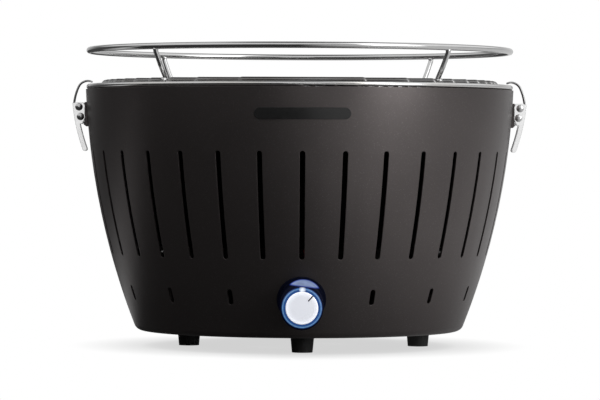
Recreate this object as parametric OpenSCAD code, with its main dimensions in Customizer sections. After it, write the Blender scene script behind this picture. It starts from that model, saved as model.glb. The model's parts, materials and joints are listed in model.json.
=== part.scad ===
// Portable tabletop charcoal grill with a fan, in millimetres.
// The origin is the centre of the plane that the feet stand on: +Z up, -Y the front, latches at -X and +X.

/* [Outer bowl] */
// Radius of the bowl at its top edge
rim_r = 175.4; // [175.2:0.1:175.8]
// Height of the bowl's top edge above the table
rim_z = 209.9; // [209.9:0.1:210.3]
// Radius of the arc that the wall follows in side view
wall_arc_r = 597; // [594:1:600]
// Height of that arc's centre
wall_mid_z = 234.5; // [233.5:0.5:235.5]
// Height of the bowl's underside above the table
base_z = 13; // [12.9:0.1:13.1]
// Thickness of the bowl's sheet
sheet_t = 1.5; // [1.2:0.1:1.5]
// Radius of the bend between wall and base
corner_r = 7; // [6:0.5:9]

/* [Slots] */
// Number of long slots round the wall
slot_count = 32; // [24, 28, 32]
// Width of every slot
slot_w = 4.2; // [3.6:0.1:4.6]
// Height of the long slots' lower ends
slot_low_z = 75.4; // [72:0.2:80]
// Height of the long slots' upper ends
slot_high_z = 160; // [150:0.2:168]
// Height of the short slots' lower ends
vent_low_z = 39.3; // [37:0.1:41]
// Height of the short slots' upper ends
vent_high_z = 51.6; // [48:0.1:56]

/* [Inner bowl] */
// Radius of the circle that the rolled rim's centre follows
bead_ring_r = 172.9; // [172.8:0.1:173]
// Radius of the rolled rim's own section
bead_r = 2.1; // [1.9:0.1:2.2]
// Thickness of the inner bowl's sheet
bowl_t = 1; // [0.8:0.1:1]
// Height of the inner bowl's underside
bowl_floor_z = 71; // [71:0.5:72]
// Radius of the bend between the inner bowl's wall and floor
bowl_corner_r = 50; // [44:1:54]

/* [Grate and guard ring] */
// Radius of the circle that the grate's outer wire follows
grate_ring_r = 163; // [162.5:0.1:163]
// Diameter of the grate's wires
grate_wire_d = 4; // [3.6:0.1:4]
// Distance from rod to rod
rod_pitch = 15.5; // [15.4:0.1:15.6]
// Height of the rods' tops
grate_top_z = 217.5; // [217.5:0.1:218]
// Radius of the circle that the guard ring's wire follows
guard_ring_r = 172.5; // [170:0.5:172.5]
// Diameter of the guard ring's wire
guard_wire_d = 5; // [4:0.2:5]
// Height of the guard ring's centre
guard_z = 241.8; // [236:0.2:250]
// Angle from the X axis to the guard ring's legs
guard_leg_angle = 48.2; // [48:0.1:48.4]

/* [Charcoal basket] */
// Outer radius of the basket
basket_r = 75; // [70:0.5:76]
// Height of the basket's top edge
basket_top_z = 145; // [135:1:147]
// Height of the perforated plate that carries the charcoal
basket_plate_z = 91; // [90:0.5:94]

/* [Knob] */
// Radius of the knob's clear skirt
knob_r = 15.75; // [15:0.05:15.9]
// Height of the knob's axis
knob_z = 38.6; // [38:0.1:39]
// Radius of the knob's face plate
knob_face_r = 12.6; // [11.5:0.05:12.8]
// Radius of the collar that the knob sits on
collar_r = 17; // [16.6:0.1:17.4]
// Angle of the pointer line, clockwise from straight up
pointer_angle = 42; // [0:1:90]

/* [Latches] */
// Distance from the bowl's axis to a latch's pivot
pivot_x = 180.8; // [180.8:0.1:181]
// Height of a latch's pivot
pivot_z = 195.5; // [195.3:0.1:195.6]
// Distance from the bowl's axis to the bail's pivot in the lever
link_x = 179.5; // [179.4:0.1:179.6]
// Height of the bail's pivot in the lever
link_z = 187.6; // [187.4:0.1:187.7]
// Diameter of the bail's wire
bail_wire_d = 1.6; // [1.5:0.1:1.8]
// Width of a latch lever
lever_w = 16.4; // [16.4:0.1:17.2]

/* [Feet] */
// Distance from the middle of the four feet to each foot
foot_ring_r = 94.1; // [92:0.1:98]
// Distance that the four feet together sit off the bowl's axis, to the right
foot_shift_x = 3.8; // [0:0.1:4]
// Angle that the four feet together are turned by
foot_turn = -1.4; // [-3:0.1:3]
// Radius of a foot where it meets the bowl
foot_top_r = 9.5; // [9:0.1:11]
// Radius of a foot on the table
foot_low_r = 8.25; // [8:0.05:9]

/* [Hidden] */
$fn = 64;

// Gap left between two pieces that rest on each other
touch = 0.05;
// Radial clearance of a pin that turns in its hole
run_fit = 0.05;
// Length that is certain to cut through or past anything near it
far = 400;

// Centre of the wall's arc in side view, as distance from the axis
wall_arc_x = rim_r - sqrt(pow(wall_arc_r, 2) - pow(wall_mid_z - rim_z, 2));
corner_z = base_z + corner_r;
corner_x = wall_arc_x + sqrt(pow(wall_arc_r - corner_r, 2) - pow(wall_mid_z - corner_z, 2));
corner_angle = -asin((wall_mid_z - corner_z) / (wall_arc_r - corner_r));
rim_angle = -asin((wall_mid_z - rim_z) / wall_arc_r);
base_hole_r = 58;
base_top_z = base_z + sheet_t;

bead_z = rim_z + touch + bead_r;
ledge_z = grate_top_z - 2 * grate_wire_d - 2 * touch;
ledge_t = bowl_t;
ledge_in_r = 157;
bowl_wall_angle = 8;
bowl_hole_r = 26;

rod_z = grate_top_z - grate_wire_d / 2;
ring_z = rod_z - grate_wire_d;
rod_count_side = 10;

guard_leg_d = 4;
toe_z = ring_z + grate_wire_d / 2 + guard_leg_d / 2 + touch;
toe_in_r = 159.4;
toe_out_r = 164;

knob_back_y = -160;
knob_front_y = -170.4;
collar_front_y = -159.6;
collar_z = 44;
sleeve_r = 11;
shaft_r = 3;
bushing_r = 3.5;
control_web_y = -151;

lever_arc_x = 36.7;
lever_arc_z = 211.7;
lever_arc_r = 150;
lever_depth = 3.6;
lever_tip_z = 161.2;
lever_web_top_z = 178;
cheek_t = 1.5;
cheek_y = lever_w / 2 - cheek_t;
ear_t = 1.8;
ear_y = cheek_y - 0.3 - ear_t / 2;
pivot_pin_r = 1.5;
link_pin_r = 1.3;
rivet_head_r = 3.1;
bail_y = 2.6;
bail_arc_x = 141.4;
bail_arc_z = 194;
bail_arc_r = 44;
bail_low_angle = 6;
bail_high_angle = 24;
hook_arc_r = 8.4;
hook_arc_x = bail_arc_x + (bail_arc_r - hook_arc_r) * cos(bail_high_angle);
hook_arc_z = bail_arc_z + (bail_arc_r - hook_arc_r) * sin(bail_high_angle);
hook_angle = 112;
mount_rivet_heights = [183, 196];
bracket_low_z = 179.6;
bracket_high_z = 199.5;
bracket_out_x = 176.4;

panel_r = base_hole_r - 0.4;
panel_flange_r = 66;
panel_flange_t = 2;
panel_screw_ring_r = 62;
panel_top_z = base_top_z + touch + panel_flange_t;
bay_angle = 45;
bay_x = 62;
bay_y = 58;
box_wall = 2;
box_top_z = 34;
cell_r = 7.1;
cell_z = 22.8;
cell_pitch = 14.5;
rail_low_z = base_z - 2.3;
cover_low_z = base_z - 1.5;
cover_t = 1.4;

fan_flange_z = 36;
fan_flange_r = 54;
fan_post_ring_r = 49.5;
fan_wall_r = 33.5;
fan_wall_t = 1.5;
fan_top_z = 66;
nozzle_r = 23.5;
nozzle_top_z = 76;
motor_r = 12;
motor_low_z = 38.1;
motor_h = 15;
fan_shaft_r = 1;
impeller_low_z = motor_low_z + motor_h + 1.4;
impeller_h = 7;

powder_coat = [0.24, 0.225, 0.225];
steel = [0.78, 0.79, 0.8];
dark_steel = [0.4, 0.4, 0.41];
black_plastic = [0.08, 0.08, 0.085];
clear_blue = [0.2, 0.42, 0.85, 0.6];

// ---------------------------------------------------------------- shared shapes

// A wedge of the plane from angle a0 to angle a1, less than 180 degrees apart
module wedge(a0, a1) {
    polygon([[0, 0], far * 2 * [cos(a0), sin(a0)], far * 2 * [cos((a0 + a1) / 2), sin((a0 + a1) / 2)],
        far * 2 * [cos(a1), sin(a1)]]);
}

// A stretch of a flat ring, from angle a0 to angle a1
module ring_sector(r_out, r_in, a0, a1) {
    intersection() {
        difference() {
            circle(r = r_out);
            circle(r = r_in);
        }
        wedge(a0, a1);
    }
}

// A tube standing at height z
module tube(r_out, r_in, z, h) {
    difference() {
        translate([0, 0, z]) cylinder(r = r_out, h = h);
        translate([0, 0, z - 1]) cylinder(r = r_in, h = h + 2);
    }
}

// A wire of diameter d bent into a level circle of radius r at height z
module wire_ring(r, d, z) {
    translate([0, 0, z]) rotate_extrude($fn = 128) translate([r, 0]) circle(d = d);
}

// A straight wire of diameter d from point a to point b
module wire(a, b, d) {
    run = b - a;
    translate(a)
        rotate([0, acos(run[2] / norm(run)), atan2(run[1], run[0])])
            cylinder(d = d, h = norm(run));
}

// A ball that closes the bend between two straight wires of diameter d
module bend_ball(at, d) {
    translate(at) sphere(d = d + 0.06, $fn = 24);
}

// A shape in x and z, given thickness t and centred on distance y from the XZ plane
module upright_plate(y, t) {
    translate([0, y + t / 2, 0]) rotate([90, 0, 0]) linear_extrude(t) children();
}

// The same plate on both sides of the XZ plane
module plate_pair(y, t) {
    for (side = [-1, 1]) upright_plate(side * y, t) children();
}

// A round bar along Y between y0 and y1 at distance x and height z
module bar_y(x, z, r, y0, y1) {
    translate([x, y1, z]) rotate([90, 0, 0]) cylinder(r = r, h = y1 - y0);
}

// Everything that lies inside the outer bowl's wall, grown outwards by g
module bowl_envelope(g) {
    rotate_extrude($fn = 128) intersection() {
        translate([wall_arc_x, wall_mid_z]) circle(r = wall_arc_r + g, $fn = 512);
        translate([0, base_z]) square([rim_r + g + 1, rim_z - base_z]);
    }
}

// A skin that hugs the outer bowl's wall, from g0 to g1 outside it
module wall_skin(g0, g1) {
    difference() {
        bowl_envelope(g1);
        bowl_envelope(g0);
    }
}

function wall_r(z) = wall_arc_x + sqrt(pow(wall_arc_r, 2) - pow(wall_mid_z - z, 2));
function wall_lean(z) = asin((wall_mid_z - z) / wall_arc_r);

// ---------------------------------------------------------------- outer bowl

// The spun sheet before anything is cut into it: wall, bend and base
module spun_bowl() {
    rotate_extrude($fn = 128) translate([wall_arc_x, wall_mid_z])
        ring_sector(wall_arc_r, wall_arc_r - sheet_t, corner_angle, rim_angle, $fn = 512);
    rotate_extrude($fn = 128) translate([corner_x, corner_z])
        ring_sector(corner_r, corner_r - sheet_t, -90, corner_angle);
    tube(corner_x, base_hole_r, base_z, sheet_t);
}

// Cutter for one upright slot with round ends, pointing along +X
module slot_cutter(z0, z1) {
    run = z1 - z0 - slot_w;
    translate([corner_x - 15, 0, (z0 + z1) / 2]) rotate([90, 0, 90]) linear_extrude(80) {
        square([slot_w, run], center = true);
        for (end = [-1, 1]) translate([0, end * run / 2]) circle(d = slot_w, $fn = 24);
    }
}

module outer_bowl() {
    front = -90;
    color(powder_coat) difference() {
        spun_bowl();
        for (i = [0:slot_count - 1])
            rotate([0, 0, front + i * 360 / slot_count]) slot_cutter(slot_low_z, slot_high_z);
        for (i = [1:slot_count / 2 - 1])
            rotate([0, 0, front + i * 720 / slot_count]) slot_cutter(vent_low_z, vent_high_z);
        bar_y(0, knob_z, sleeve_r + 0.2, -far, -80);
        at_feet() cylinder(r = 1.7, h = 40, $fn = 24);
        at_panel_screws() cylinder(r = 1.7, h = 40, $fn = 24);
        for (side = [-1, 1], z = mount_rivet_heights) translate([0, 0, z])
            rotate([0, side * 90, 0]) cylinder(r = 1.6, h = far, $fn = 24);
    }
}

// A plain bar where a maker would put a name
module name_plate_blank() {
    plate_w = 75;
    plate_h = 9;
    color(black_plastic) intersection() {
        wall_skin(touch, 0.8);
        translate([0, -100, 189]) rotate([90, 0, 0]) linear_extrude(100) {
            square([plate_w - plate_h, plate_h], center = true);
            for (end = [-1, 1]) translate([end * (plate_w - plate_h) / 2, 0]) circle(d = plate_h);
        }
    }
}

// ---------------------------------------------------------------- feet

foot_shoulder_z = 6;

module at_feet() {
    translate([foot_shift_x, 0, 0]) rotate([0, 0, foot_turn])
        for (a = [0:90:270]) rotate([0, 0, a]) translate([foot_ring_r, 0, 0]) children();
}

module feet() {
    color(black_plastic) at_feet() difference() {
        cylinder(r1 = foot_low_r, r2 = foot_top_r, h = base_z - touch);
        translate([0, 0, -1]) cylinder(r = 3.8, h = foot_shoulder_z + 1);
        cylinder(r = 1.7, h = far, $fn = 24);
    }
}

module foot_screws() {
    color(steel) at_feet() difference() {
        union() {
            translate([0, 0, foot_shoulder_z - 2.4]) cylinder(r = 3.3, h = 2.35);
            translate([0, 0, foot_shoulder_z - 1]) cylinder(r = 1.5, h = base_top_z + 4 - foot_shoulder_z, $fn = 24);
        }
        for (a = [0, 90]) rotate([0, 0, a])
            translate([0, 0, foot_shoulder_z - 2.4]) cube([4, 0.8, 2.4], center = true);
    }
}

module foot_nuts() {
    color(steel) at_feet() difference() {
        translate([0, 0, base_top_z + touch]) cylinder(r = 3.4, h = 2.4, $fn = 6);
        cylinder(r = 1.55, h = far, $fn = 24);
    }
}

// ---------------------------------------------------------------- inner bowl and its contents

// The inner bowl's sheet: ledge, wall, bend, floor and the raised collar round the air hole
module inner_bowl_section() {
    out_r = ledge_in_r + bowl_t;
    arc_z = bowl_floor_z + bowl_corner_r;
    drop = (ledge_z - arc_z + bowl_corner_r * sin(bowl_wall_angle)) / cos(bowl_wall_angle);
    arc_x = out_r - drop * sin(bowl_wall_angle) - bowl_corner_r * cos(bowl_wall_angle);
    foot = [arc_x, arc_z] + bowl_corner_r * [cos(bowl_wall_angle), -sin(bowl_wall_angle)];
    inward = bowl_t * [-cos(bowl_wall_angle), sin(bowl_wall_angle)];
    shoulder = [out_r, ledge_z - 0.3];
    translate([bead_ring_r, bead_z]) circle(r = bead_r, $fn = 32);
    translate([bead_ring_r - bead_r, ledge_z - ledge_t]) square([bowl_t, bead_z - ledge_z + ledge_t]);
    translate([ledge_in_r, ledge_z - ledge_t])
        square([bead_ring_r - bead_r + bowl_t - ledge_in_r, ledge_t]);
    polygon([foot, shoulder, shoulder + inward, foot + inward]);
    translate([arc_x, arc_z])
        ring_sector(bowl_corner_r, bowl_corner_r - bowl_t, -90, -bowl_wall_angle, $fn = 128);
    translate([bowl_hole_r, bowl_floor_z]) square([arc_x - bowl_hole_r, bowl_t]);
    translate([bowl_hole_r, bowl_floor_z]) square([bowl_t, 9]);
}

module inner_bowl() {
    color(steel) rotate_extrude($fn = 128) inner_bowl_section();
}

// A cap over the air hole that turns the blast sideways and keeps ash out
module air_diffuser() {
    cap_r = bowl_hole_r + bowl_t + 1;
    cap_t = 0.8;
    low_z = bowl_floor_z + bowl_t + touch;
    cap_h = 15.5;
    color(dark_steel) difference() {
        translate([0, 0, low_z]) cylinder(r = cap_r, h = cap_h);
        translate([0, 0, low_z - 1]) cylinder(r = cap_r - cap_t, h = cap_h + 1 - cap_t);
        for (i = [0:11]) rotate([0, 0, i * 30])
            translate([cap_r - 3, -1.5, low_z + cap_h - 6]) cube([6, 3, 4]);
    }
}

// A ring-shaped dish for the lighting gel
module fuel_tray() {
    in_r = 31;
    out_r = 58;
    dish_t = 0.8;
    dish_h = 8;
    low_z = bowl_floor_z + bowl_t + touch;
    color(steel) difference() {
        tube(out_r, in_r, low_z, dish_h);
        tube(out_r - dish_t, in_r + dish_t, low_z + dish_t, dish_h);
    }
}

module charcoal_basket() {
    skin = 1;
    low_z = bowl_floor_z + bowl_t + touch;
    plate_slots = 24;
    wall_slots = 30;
    color(dark_steel) difference() {
        union() {
            tube(basket_r, basket_r - skin, low_z, basket_top_z - low_z);
            translate([0, 0, basket_plate_z]) cylinder(r = basket_r - skin / 2, h = skin);
        }
        for (i = [0:plate_slots - 1]) rotate([0, 0, i * 360 / plate_slots])
            translate([i % 2 == 0 ? 18 : 34, -1.5, basket_plate_z - 1]) cube([32, 3, skin + 2]);
        for (i = [0:wall_slots - 1]) rotate([0, 0, i * 360 / wall_slots]) {
            translate([basket_r - 5, -2, basket_plate_z + 6]) cube([10, 4, 20]);
            translate([basket_r - 5, -2, basket_plate_z + 31]) cube([10, 4, 16]);
            translate([basket_r - 5, -2, low_z + 4]) cube([10, 4, 10]);
        }
    }
}

module basket_lid() {
    skin = 1;
    low_z = basket_top_z - 5;
    color(steel) {
        tube(basket_r + 0.5 + skin, basket_r + 0.5, low_z, 5 + touch + skin);
        translate([0, 0, basket_top_z + touch]) cylinder(r = basket_r + 1, h = skin);
    }
}

module lid_handle() {
    grip_r = 11;
    wire_d = 3;
    color(steel) translate([0, 0, basket_top_z + 1 + 2 * touch]) {
        rotate([90, 0, 0]) rotate_extrude(angle = 180) translate([grip_r, 0]) circle(d = wire_d, $fn = 24);
        for (side = [-1, 1]) translate([side * grip_r, 0, 0]) cylinder(r = 3.4, h = 1.2);
    }
}

// ---------------------------------------------------------------- grate and guard ring

module grate_ring() {
    color(steel) wire_ring(grate_ring_r, grate_wire_d, ring_z);
}

// One rod along X whose ends bend down onto the outer wire
module grate_rod(y) {
    end_x = sqrt(pow(grate_ring_r, 2) - pow(y, 2)) - grate_wire_d / 2;
    wire([-end_x, y, rod_z], [end_x, y, rod_z], grate_wire_d);
    for (x = [-end_x, end_x]) {
        bend_ball([x, y, rod_z], grate_wire_d);
        translate([x, y, ring_z]) cylinder(d = grate_wire_d, h = rod_z - ring_z);
    }
}

module grate_rods() {
    color(steel) for (i = [-rod_count_side:rod_count_side]) grate_rod(i * rod_pitch);
}

// Bars under the rods, in the same plane as the outer wire
module grate_cross_bars() {
    bar_z = ring_z - touch;
    color(steel) for (x = [-85, 0, 85])
        bar_y(x, bar_z, grate_wire_d / 2, -sqrt(pow(grate_ring_r, 2) - pow(x, 2)),
            sqrt(pow(grate_ring_r, 2) - pow(x, 2)));
}

module guard_ring() {
    color(steel) wire_ring(guard_ring_r, guard_wire_d, guard_z);
}

// Four legs that lean outwards from the grate up to the ring, each with a toe on the grate's outer wire
module guard_ring_legs() {
    color(steel) for (side = [0, 1], end = [0, 1])
        mirror([side, 0, 0]) mirror([0, end, 0]) rotate([0, 0, guard_leg_angle]) {
            wire([toe_in_r, 0, toe_z], [guard_ring_r, 0, guard_z], guard_leg_d);
            bend_ball([toe_in_r, 0, toe_z], guard_leg_d);
            wire([toe_in_r, 0, toe_z], [toe_out_r, 0, toe_z], guard_leg_d);
        }
}

// ---------------------------------------------------------------- latches, drawn for the +X side

// A bent bracket riveted to the wall, with an ear on each side for the lever's pivot
module latch_bracket() {
    difference() {
        union() {
            upright_plate(0, 2 * ear_y + ear_t)
                polygon([[rim_r - 4, bracket_low_z], [bracket_out_x - 1.2, bracket_low_z],
                    [bracket_out_x, bracket_low_z + 1.2], [bracket_out_x, bracket_high_z], [rim_r - 4, bracket_high_z]]);
            plate_pair(ear_y, ear_t) {
                translate([bracket_out_x - 1, pivot_z - 3]) square([pivot_x - bracket_out_x + 1, 6]);
                translate([pivot_x, pivot_z]) circle(r = 3.2);
            }
        }
        translate([0, 0, bracket_low_z - 1])
            cylinder(r1 = wall_r(bracket_low_z - 1) + 0.15, r2 = wall_r(bracket_high_z + 1) + 0.15,
                h = bracket_high_z - bracket_low_z + 2, $fn = 512);
        bar_y(pivot_x, pivot_z, pivot_pin_r + run_fit, -far, far);
        for (z = mount_rivet_heights) translate([0, 0, z]) rotate([0, 90, 0]) cylinder(r = 1.6, h = far, $fn = 24);
    }
}

// Rivets that hold a bracket to the wall
module mount_rivets() {
    for (z = mount_rivet_heights) translate([0, 0, z]) rotate([0, 90, 0]) {
        translate([0, 0, wall_r(z) - sheet_t - 1.4]) cylinder(r = 2.6, h = 1.1);
        translate([0, 0, wall_r(z) - sheet_t - 0.4]) cylinder(r = 1.5, h = bracket_out_x - wall_r(z) + sheet_t + 1, $fn = 24);
        translate([0, 0, bracket_out_x + touch]) cylinder(r1 = 2.6, r2 = 1.8, h = 0.9);
    }
}

// A domed rivet head facing +Y, its flat side at height 0 of its own axis
module rivet_head(r) {
    dome_r = 4.4;
    intersection() {
        cylinder(r = r, h = dome_r);
        translate([0, 0, 0.3 - sqrt(dome_r * dome_r - r * r)]) sphere(r = dome_r);
    }
}

// Two short rivets, one through each ear and cheek, so that the bail can pass between them
module pivot_rivets() {
    for (side = [0, 1]) mirror([0, side, 0]) {
        bar_y(pivot_x, pivot_z, pivot_pin_r, ear_y - ear_t / 2, lever_w / 2 + 0.4);
        translate([pivot_x, lever_w / 2 + 0.1, pivot_z]) rotate([-90, 0, 0]) rivet_head(rivet_head_r);
    }
}

// The pin that joins the bail to the lever, with a head on each cheek
module bail_pin() {
    bar_y(link_x, link_z, link_pin_r, -lever_w / 2 - 0.4, lever_w / 2 + 0.4);
    for (side = [-1, 1])
        translate([link_x, side * (lever_w / 2 + 0.1), link_z]) rotate([-side * 90, 0, 0]) rivet_head(rivet_head_r);
}

tip_angle = -asin((lever_arc_z - lever_tip_z) / (lever_arc_r - lever_depth / 2));
web_top_angle = -asin((lever_arc_z - lever_web_top_z) / lever_arc_r);
cheek_top_z = pivot_z + 3.8;

// Side view of the handle: a curved strip from the tip up to angle a1, its outer edge set in by a distance
module handle_strip(depth, a1, set_in = 0) {
    translate([lever_arc_x, lever_arc_z])
        ring_sector(lever_arc_r - set_in, lever_arc_r - depth, tip_angle, a1, $fn = 512);
}

// Side view of a cheek: the handle's full depth, widened round both pins
module cheek_outline() {
    head_r = 4.8;
    back_x = pivot_x - head_r + 0.15;
    intersection() {
        union() {
            handle_strip(lever_depth, -5);
            translate([lever_arc_x, lever_arc_z]) rotate(tip_angle)
                translate([lever_arc_r - lever_depth / 2, 0]) circle(d = lever_depth, $fn = 32);
            translate([pivot_x, pivot_z]) circle(r = head_r);
            translate([link_x, link_z]) circle(r = 3.6);
            polygon([[back_x, pivot_z], [back_x, link_z - 1.6], [pivot_x - 2.6, link_z - 6],
                [pivot_x + 2, link_z - 6], [pivot_x + 4.4, pivot_z]]);
        }
        square([rim_r + 30, cheek_top_z]);
    }
}

module latch_lever() {
    difference() {
        union() {
            plate_pair(cheek_y + cheek_t / 2, cheek_t) cheek_outline();
            upright_plate(0, 2 * cheek_y + 0.6) handle_strip(cheek_t, web_top_angle, 0.15);
        }
        bar_y(pivot_x, pivot_z, pivot_pin_r + run_fit, -far, far);
        bar_y(link_x, link_z, link_pin_r + run_fit / 2, -far, far);
    }
}

// A point in side view at angle a on the circle of radius r about a centre
function on_arc(centre, r, a) = centre + r * [cos(a), sin(a)];

// A stretch of the bail's wire, bent to radius r about a centre in side view
module wire_bend(centre, r, a0, a1) {
    translate([centre[0], 0, centre[1]]) rotate([90, 0, 0]) rotate([0, 0, a0])
        rotate_extrude(angle = a1 - a0) translate([r, 0]) circle(d = bail_wire_d, $fn = 24);
}

// A wire loop from the lever's pin up and over the rolled rim
module latch_bail() {
    side_arc = [bail_arc_x, bail_arc_z];
    hook_arc = [hook_arc_x, hook_arc_z];
    low = on_arc(side_arc, bail_arc_r, bail_low_angle);
    middle = on_arc(side_arc, bail_arc_r, bail_high_angle);
    hook = on_arc(hook_arc, hook_arc_r, hook_angle);
    difference() {
        for (side = [-1, 1]) translate([0, side * bail_y, 0]) {
            bar_y(link_x, link_z, link_pin_r + run_fit + 1.1, -bail_wire_d / 2, bail_wire_d / 2);
            wire([link_x, 0, link_z], [low[0], 0, low[1]], bail_wire_d);
            wire_bend(side_arc, bail_arc_r, bail_low_angle, bail_high_angle);
            wire_bend(hook_arc, hook_arc_r, bail_high_angle, hook_angle);
            for (p = [low, middle, hook]) bend_ball([p[0], 0, p[1]], bail_wire_d);
        }
        bar_y(link_x, link_z, link_pin_r + run_fit, -far, far);
    }
    bar_y(hook[0], hook[1], bail_wire_d / 2, -bail_y, bail_y);
}

module left() {
    mirror([1, 0, 0]) children();
}

module left_latch_bracket() { color(steel) left() latch_bracket(); }
module right_latch_bracket() { color(steel) latch_bracket(); }
module left_latch_lever() { color(steel) left() latch_lever(); }
module right_latch_lever() { color(steel) latch_lever(); }
module left_bail_pin() { color(steel) left() bail_pin(); }
module right_bail_pin() { color(steel) bail_pin(); }
module left_latch_bail() { color(steel) left() latch_bail(); }
module right_latch_bail() { color(steel) latch_bail(); }

module latch_mount_rivets() {
    color(steel) {
        mount_rivets();
        left() mount_rivets();
    }
}

module latch_pivot_rivets() {
    color(steel) {
        pivot_rivets();
        left() pivot_rivets();
    }
}

// ---------------------------------------------------------------- knob and its control

// A collar square to the leaning wall, cut off upright in front, with a sleeve through the wall
module knob_collar() {
    lean = wall_lean(collar_z);
    flange_r = collar_r + 2.2;
    color(black_plastic) difference() {
        union() {
            difference() {
                intersection() {
                    translate([0, -wall_r(collar_z), collar_z]) rotate([90 + lean, 0, 0])
                        translate([0, 0, -20]) cylinder(r = collar_r, h = 60);
                    translate([-far, collar_front_y, 0]) cube([2 * far, 100, far]);
                }
                bowl_envelope(0.1);
            }
            intersection() {
                wall_skin(0.1, 1.3);
                translate([0, -wall_r(collar_z), collar_z]) rotate([90 + lean, 0, 0])
                    translate([0, 0, -20]) cylinder(r = flange_r, h = 60);
            }
            bar_y(0, knob_z, sleeve_r, collar_front_y + 2, -134);
        }
        bar_y(0, knob_z, 9.3, control_web_y + 2, -100);
        bar_y(0, knob_z, 13.6, -far, control_web_y - 4);
        bar_y(0, knob_z, 9.3, -far, control_web_y);
        bar_y(0, knob_z, bushing_r + 0.1, -far, 0);
        for (a = [90, 210, 330]) translate([6.8 * cos(a), 0, 6.8 * sin(a)])
            bar_y(0, knob_z, 1.6, -far, 0);
    }
}

// The light guide behind the knob
module light_ring() {
    color(clear_blue) difference() {
        bar_y(0, knob_z, 13.5, collar_front_y, control_web_y - 4.1);
        bar_y(0, knob_z, 8.4, -far, 0);
    }
}

module knob_leds() {
    color(clear_blue) for (a = [90, 210, 330]) translate([6.8 * cos(a), 0, knob_z + 6.8 * sin(a)]) {
        bar_y(0, 0, 1.5, control_web_y - 3.5, control_web_y + 2.6);
        translate([0, control_web_y - 3.5, 0]) sphere(r = 1.5, $fn = 24);
    }
}

module speed_control() {
    color(dark_steel) difference() {
        union() {
            bar_y(0, knob_z, 4.8, control_web_y + 2.1, control_web_y + 4);
            bar_y(0, knob_z, 8.4, control_web_y + 4, control_web_y + 12);
            bar_y(0, knob_z, bushing_r, control_web_y - 5, control_web_y + 3);
            for (x = [-4, 0, 4]) translate([x - 0.7, control_web_y + 11.5, knob_z - 4]) cube([1.4, 5, 0.6]);
        }
        bar_y(0, knob_z, shaft_r + run_fit, -far, control_web_y + 10);
    }
}

module control_nut() {
    color(steel) difference() {
        translate([0, control_web_y - touch, knob_z]) rotate([90, 0, 0]) cylinder(r = 5, h = 2, $fn = 6);
        bar_y(0, knob_z, bushing_r + 0.02, -far, 0);
    }
}

module knob_shaft() {
    color(steel) bar_y(0, knob_z, shaft_r, knob_front_y + 3.5, control_web_y + 9);
}

module knob_skirt() {
    color(clear_blue) translate([0, 0, knob_z]) rotate([90, 0, 0]) difference() {
        union() {
            translate([0, 0, -knob_back_y]) cylinder(r = knob_r, h = knob_back_y - knob_front_y - 1);
            translate([0, 0, -knob_front_y - 1]) cylinder(r1 = knob_r, r2 = knob_r - 1, h = 1);
        }
        translate([0, 0, -knob_back_y - 1]) difference() {
            cylinder(r = knob_r - 2.2, h = 5);
            cylinder(r = 6, h = 5);
        }
        translate([0, 0, -knob_front_y - 1.3]) cylinder(r = knob_face_r + touch, h = 3);
        translate([0, 0, -knob_back_y - 1]) cylinder(r = shaft_r + 0.02, h = -knob_front_y + knob_back_y - 2);
    }
}

module knob_face() {
    plate_t = 1.9;
    line_in = 7.3;
    line_out = 12.2;
    color([0.86, 0.86, 0.88]) translate([0, knob_front_y + 1.2, knob_z]) rotate([90, 0, 0]) difference() {
        union() {
            cylinder(r = knob_face_r, h = plate_t - 0.5);
            translate([0, 0, plate_t - 0.5]) cylinder(r1 = knob_face_r, r2 = knob_face_r - 0.5, h = 0.5);
        }
        rotate([0, 0, -pointer_angle]) translate([-0.5, line_in, plate_t - 0.5])
            cube([1, line_out - line_in, 2]);
    }
}

// ---------------------------------------------------------------- fan and battery unit

module in_bay() {
    rotate([0, 0, bay_angle]) children();
}

module at_panel_screws() {
    for (a = [0:90:270]) rotate([0, 0, a]) translate([panel_screw_ring_r, 0, 0]) children();
}

module at_fan_posts() {
    for (a = [0, 90, 180, 270]) rotate([0, 0, a]) translate([fan_post_ring_r, 0, 0]) children();
}

// The removable panel in the bowl's base: battery opening, air slots, cover rails and screw posts
module base_panel() {
    rail_x = bay_x / 2 + 4;
    color(black_plastic) difference() {
        union() {
            translate([0, 0, base_z]) cylinder(r = panel_r, h = 3);
            translate([0, 0, base_top_z + touch]) cylinder(r = panel_flange_r, h = panel_flange_t);
            at_panel_screws() translate([0, 0, panel_top_z - 1]) cylinder(r = 3.4, h = 6);
            at_fan_posts() translate([0, 0, panel_top_z - 1]) cylinder(r = 3.4, h = fan_flange_z - touch - panel_top_z + 1);
            in_bay() for (side = [-1, 1]) mirror([0, side > 0 ? 0 : 1, 0]) {
                translate([-rail_x, bay_y / 2 + 2.2, rail_low_z]) cube([2 * rail_x, 1.8, base_z - rail_low_z + 1]);
                translate([-rail_x, bay_y / 2 + 0.5, rail_low_z]) cube([2 * rail_x, 3.5, 0.7]);
            }
            in_bay() translate([-rail_x, -bay_y / 2 - 4, rail_low_z]) cube([1.8, bay_y + 8, base_z - rail_low_z + 1]);
        }
        in_bay() translate([-bay_x / 2, -bay_y / 2, base_z - 1]) cube([bay_x, bay_y, 20]);
        at_panel_screws() cylinder(r = 1.45, h = panel_top_z + 4, $fn = 24);
        at_fan_posts() translate([0, 0, fan_flange_z - 8]) cylinder(r = 1.45, h = 10, $fn = 24);
        for (side = [0, 180], k = [-2:2]) rotate([0, 0, bay_angle + 90 + side])
            translate([k * 7 - 1.5, bay_x / 2 + 8, base_z - 1]) cube([3, 12, 10]);
    }
}

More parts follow.
